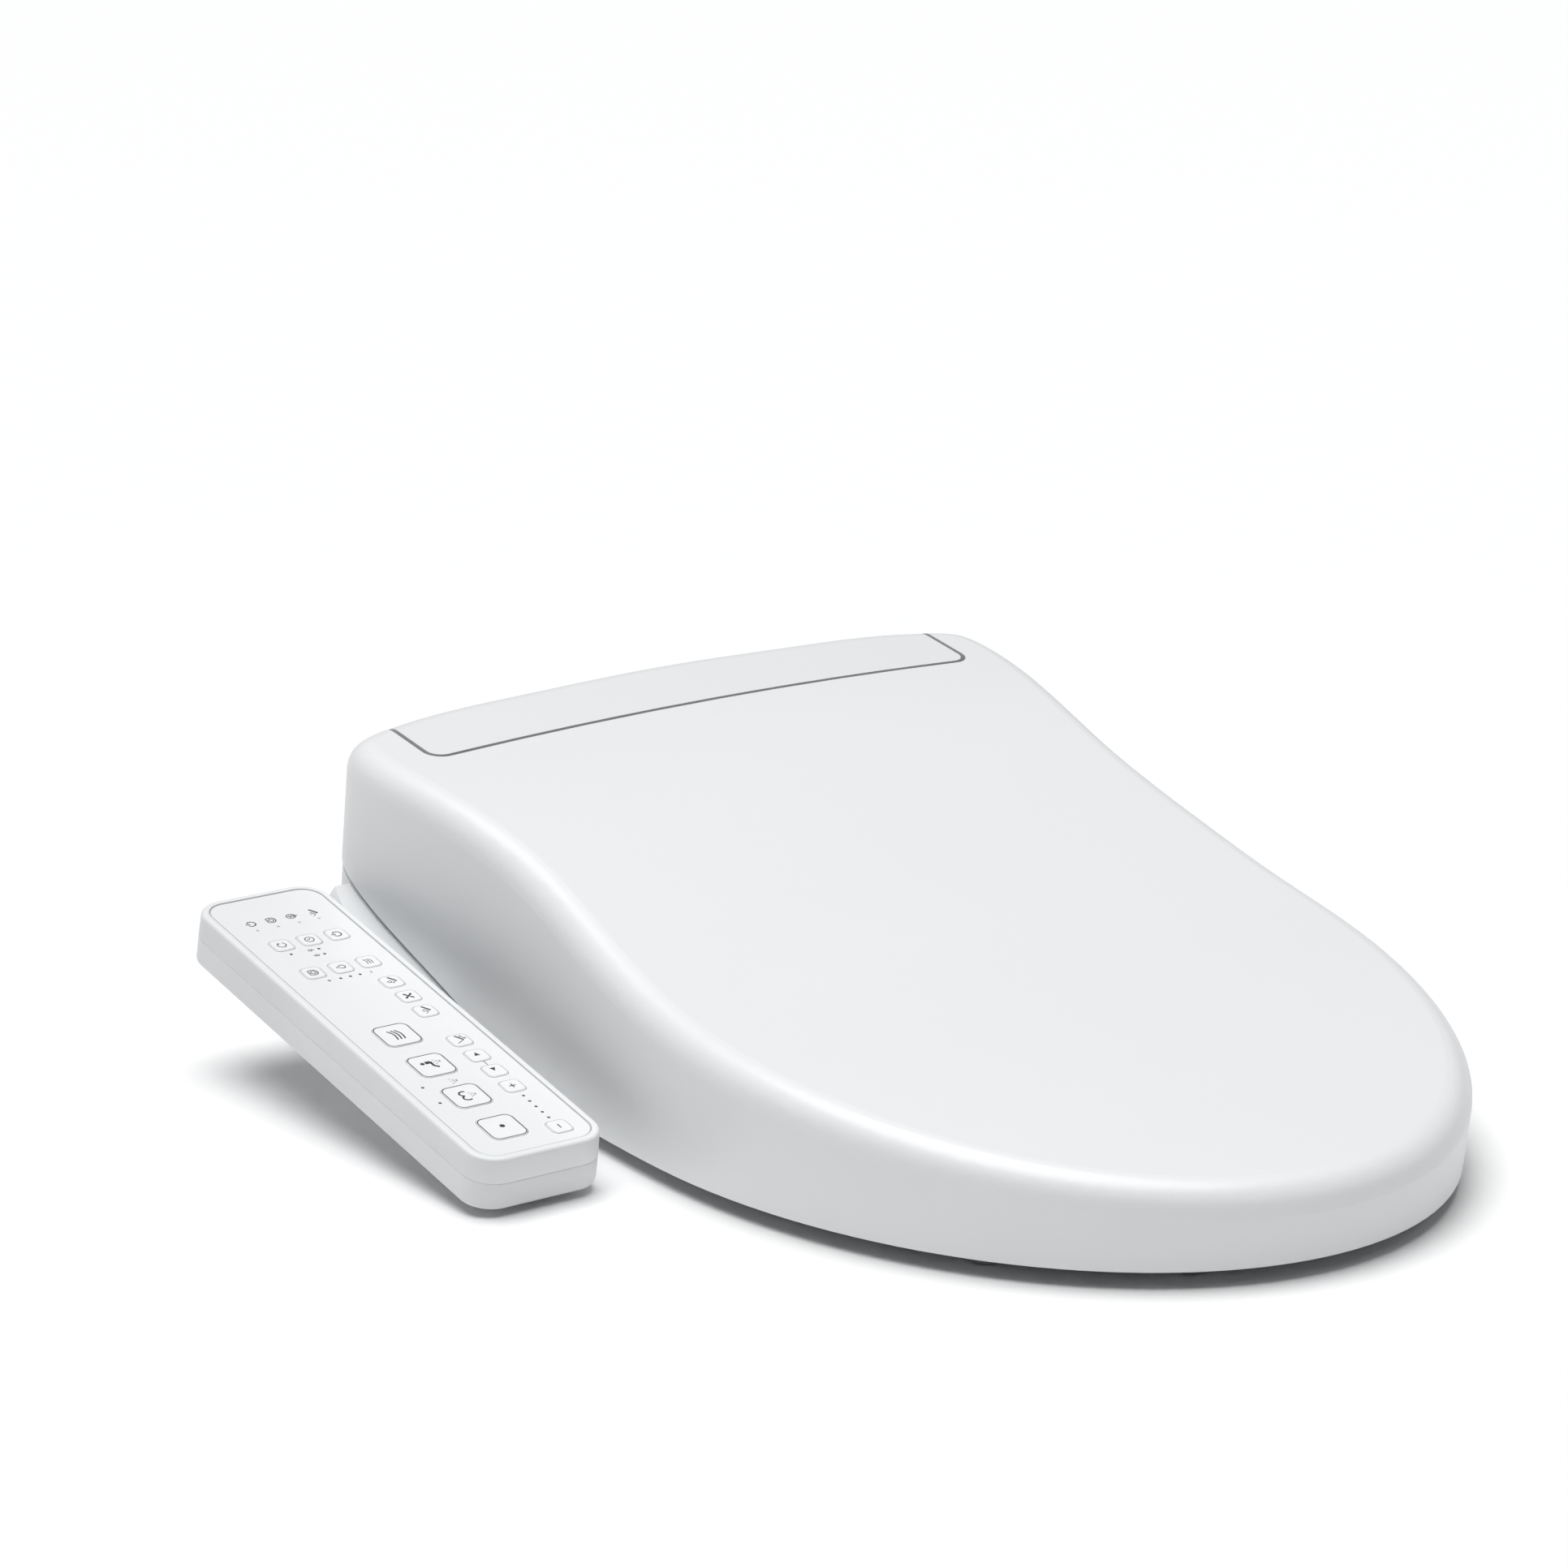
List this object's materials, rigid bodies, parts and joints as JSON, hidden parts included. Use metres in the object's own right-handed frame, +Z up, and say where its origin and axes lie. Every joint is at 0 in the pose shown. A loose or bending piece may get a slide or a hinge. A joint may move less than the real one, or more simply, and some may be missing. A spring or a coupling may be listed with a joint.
{
  "type": "electric bidet seat",
  "caption": "White electric bidet toilet seat with a hinged lid over a heated seat ring, a spray wand, and a side arm of wash and dryer keys.",
  "frame": {"origin": "midway between the two bowl-fixing holes of the mounting plate, on the plane where the part rests on the bowl's rim", "axes": "+X to the side away from the control arm, +Y to the rear (tank side), +Z up off the bowl"},
  "size_m": [0.4672, 0.5459, 0.1525],
  "materials": {
    "lid_gloss": "glossy white",
    "white_gloss": "glossy white",
    "white_satin": "satin white",
    "label_film": "smooth printed film",
    "key_film": "satin white keys with dark symbols",
    "plate_grey": "textured grey",
    "rubber_grey": "soft pale rubber",
    "black_rubber": "matt black",
    "black_plastic": "matt black",
    "fitting_plastic": "moulded pale grey",
    "valve_plastic": "moulded blue-grey",
    "duct_grey": "moulded grey",
    "wand_white": "smooth white",
    "steel": "ground",
    "heater_steel": "deep-drawn",
    "motor_metal": "zinc-plated",
    "heater_foil": "foil",
    "board_green": "circuit board",
    "light_lens": "small frosted windows"
  },
  "bodies": {
    "base": {"mounting_plate": "plate_grey", "bowl_pads": "rubber_grey", "base_tray": "white_satin", "case_screws": "steel", "main_case": "white_satin", "top_panel": "white_gloss", "rear_cover": "white_satin", "hinge_pins": "steel", "soft_close_dampers": "black_plastic", "inlet_fitting": "fitting_plastic", "cord_gland": "black_rubber", "water_heater": "heater_steel", "solenoid_valve": "valve_plastic", "water_pump": "black_plastic", "main_board": "board_green", "dryer_duct": "duct_grey", "fan_housing": "duct_grey", "wand_holder": "duct_grey", "wand_motor": "motor_metal", "arm_bracket": "white_satin", "arm_lower_case": "white_satin", "arm_upper_case": "white_gloss", "control_label": "label_film", "status_lights": "light_lens", "control_board": "board_green"},
    "seat": {"seat_top_shell": "white_gloss", "seat_base_shell": "white_satin", "seat_heater": "heater_foil", "seat_arms": "white_satin", "seat_buffers": "rubber_grey"},
    "lid": {"lid_shell": "lid_gloss", "lid_bushes": "duct_grey", "lid_buffers": "rubber_grey"},
    "wand": {"wand_tube": "wand_white", "nozzle_tip": "wand_white"},
    "wand_roller": {"wand_roller": "black_rubber"},
    "fan_impeller": {"fan_impeller": "black_plastic"},
    "dryer_flap": {"dryer_flap": "white_satin"},
    "deodorizer_cartridge": {"deodorizer_cartridge": "white_satin"},
    "release_button": {"release_button": "white_satin"},
    "drain_plug": {"drain_plug": "fitting_plastic"},
    "key_auto": {"key_auto": "key_film"},
    "key_timer": {"key_timer": "key_film"},
    "key_power": {"key_power": "key_film"},
    "key_seat_warmth": {"key_seat_warmth": "key_film"},
    "key_water_warmth": {"key_water_warmth": "key_film"},
    "key_dryer_warmth": {"key_dryer_warmth": "key_film"},
    "key_wand_wash": {"key_wand_wash": "key_film"},
    "key_fan": {"key_fan": "key_film"},
    "key_wand_clean": {"key_wand_clean": "key_film"},
    "key_oscillate": {"key_oscillate": "key_film"},
    "key_wand_back": {"key_wand_back": "key_film"},
    "key_wand_forward": {"key_wand_forward": "key_film"},
    "key_pressure_up": {"key_pressure_up": "key_film"},
    "key_pressure_down": {"key_pressure_down": "key_film"},
    "key_dryer": {"key_dryer": "key_film"},
    "key_front_wash": {"key_front_wash": "key_film"},
    "key_rear_wash": {"key_rear_wash": "key_film"},
    "key_stop": {"key_stop": "key_film"}
  },
  "joints": [
    {"name": "seat_hinge", "type": "hinge", "parent": "base", "child": "seat", "pos_m": [0, 0.05, 0.128], "axis": [1, 0, 0], "range_deg": [-95, 0]},
    {"name": "lid_hinge", "type": "hinge", "parent": "seat", "child": "lid", "pos_m": [0, 0.05, 0.128], "axis": [-1, 0, 0], "range_deg": [0, 105]},
    {"name": "wand_slide", "type": "slide", "parent": "base", "child": "wand", "axis": [0, -0.8192, -0.5736], "range_m": [0, 0.11]},
    {"name": "wand_roller_turn", "type": "hinge", "parent": "base", "child": "wand_roller", "pos_m": [0, -0.00685, 0.07289], "axis": [-1, 0, 0], "range_deg": [0, 1055]},
    {"name": "fan_turn", "type": "hinge", "parent": "base", "child": "fan_impeller", "pos_m": [0, 0.008, 0.075], "axis": [1, 0, 0], "continuous": true},
    {"name": "dryer_flap_hinge", "type": "hinge", "parent": "base", "child": "dryer_flap", "pos_m": [0, -0.0564, 0.0273], "axis": [-1, 0, 0], "range_deg": [0, 35]},
    {"name": "cartridge_slide", "type": "slide", "parent": "base", "child": "deodorizer_cartridge", "axis": [1, 0, 0], "range_m": [0, 0.035]},
    {"name": "release_press", "type": "slide", "parent": "base", "child": "release_button", "axis": [-1, 0, 0], "range_m": [0, 0.004], "stiffness_N_per_m": 300},
    {"name": "drain_turn", "type": "hinge", "parent": "base", "child": "drain_plug", "pos_m": [-0.076, 0.066, 0.0215], "axis": [0, 1, 0], "range_deg": [0, 90]},
    {"name": "press_auto", "type": "slide", "parent": "base", "child": "key_auto", "axis": [0, 0.2016, -0.9795], "range_m": [0, 0.0006], "stiffness_N_per_m": 200},
    {"name": "press_timer", "type": "slide", "parent": "base", "child": "key_timer", "axis": [0, 0.2016, -0.9795], "range_m": [0, 0.0006], "stiffness_N_per_m": 200},
    {"name": "press_power", "type": "slide", "parent": "base", "child": "key_power", "axis": [0, 0.2016, -0.9795], "range_m": [0, 0.0006], "stiffness_N_per_m": 200},
    {"name": "press_seat_warmth", "type": "slide", "parent": "base", "child": "key_seat_warmth", "axis": [0, 0.2016, -0.9795], "range_m": [0, 0.0006], "stiffness_N_per_m": 200},
    {"name": "press_water_warmth", "type": "slide", "parent": "base", "child": "key_water_warmth", "axis": [0, 0.2016, -0.9795], "range_m": [0, 0.0006], "stiffness_N_per_m": 200},
    {"name": "press_dryer_warmth", "type": "slide", "parent": "base", "child": "key_dryer_warmth", "axis": [0, 0.2016, -0.9795], "range_m": [0, 0.0006], "stiffness_N_per_m": 200},
    {"name": "press_wand_wash", "type": "slide", "parent": "base", "child": "key_wand_wash", "axis": [0, 0.2016, -0.9795], "range_m": [0, 0.0006], "stiffness_N_per_m": 200},
    {"name": "press_fan", "type": "slide", "parent": "base", "child": "key_fan", "axis": [0, 0.2016, -0.9795], "range_m": [0, 0.0006], "stiffness_N_per_m": 200},
    {"name": "press_wand_clean", "type": "slide", "parent": "base", "child": "key_wand_clean", "axis": [0, 0.2016, -0.9795], "range_m": [0, 0.0006], "stiffness_N_per_m": 200},
    {"name": "press_oscillate", "type": "slide", "parent": "base", "child": "key_oscillate", "axis": [0, 0.2016, -0.9795], "range_m": [0, 0.0006], "stiffness_N_per_m": 200},
    {"name": "press_wand_back", "type": "slide", "parent": "base", "child": "key_wand_back", "axis": [0, 0.2016, -0.9795], "range_m": [0, 0.0006], "stiffness_N_per_m": 200},
    {"name": "press_wand_forward", "type": "slide", "parent": "base", "child": "key_wand_forward", "axis": [0, 0.2016, -0.9795], "range_m": [0, 0.0006], "stiffness_N_per_m": 200},
    {"name": "press_pressure_up", "type": "slide", "parent": "base", "child": "key_pressure_up", "axis": [0, 0.2016, -0.9795], "range_m": [0, 0.0006], "stiffness_N_per_m": 200},
    {"name": "press_pressure_down", "type": "slide", "parent": "base", "child": "key_pressure_down", "axis": [0, 0.2016, -0.9795], "range_m": [0, 0.0006], "stiffness_N_per_m": 200},
    {"name": "press_dryer", "type": "slide", "parent": "base", "child": "key_dryer", "axis": [0, 0.2016, -0.9795], "range_m": [0, 0.0006], "stiffness_N_per_m": 200},
    {"name": "press_front_wash", "type": "slide", "parent": "base", "child": "key_front_wash", "axis": [0, 0.2016, -0.9795], "range_m": [0, 0.0006], "stiffness_N_per_m": 200},
    {"name": "press_rear_wash", "type": "slide", "parent": "base", "child": "key_rear_wash", "axis": [0, 0.2016, -0.9795], "range_m": [0, 0.0006], "stiffness_N_per_m": 200},
    {"name": "press_stop", "type": "slide", "parent": "base", "child": "key_stop", "axis": [0, 0.2016, -0.9795], "range_m": [0, 0.0006], "stiffness_N_per_m": 200}
  ],
  "couplings": [
    {"joint": "wand_roller_turn", "follows": "wand_slide", "rad_per_m": 166.67}
  ]
}
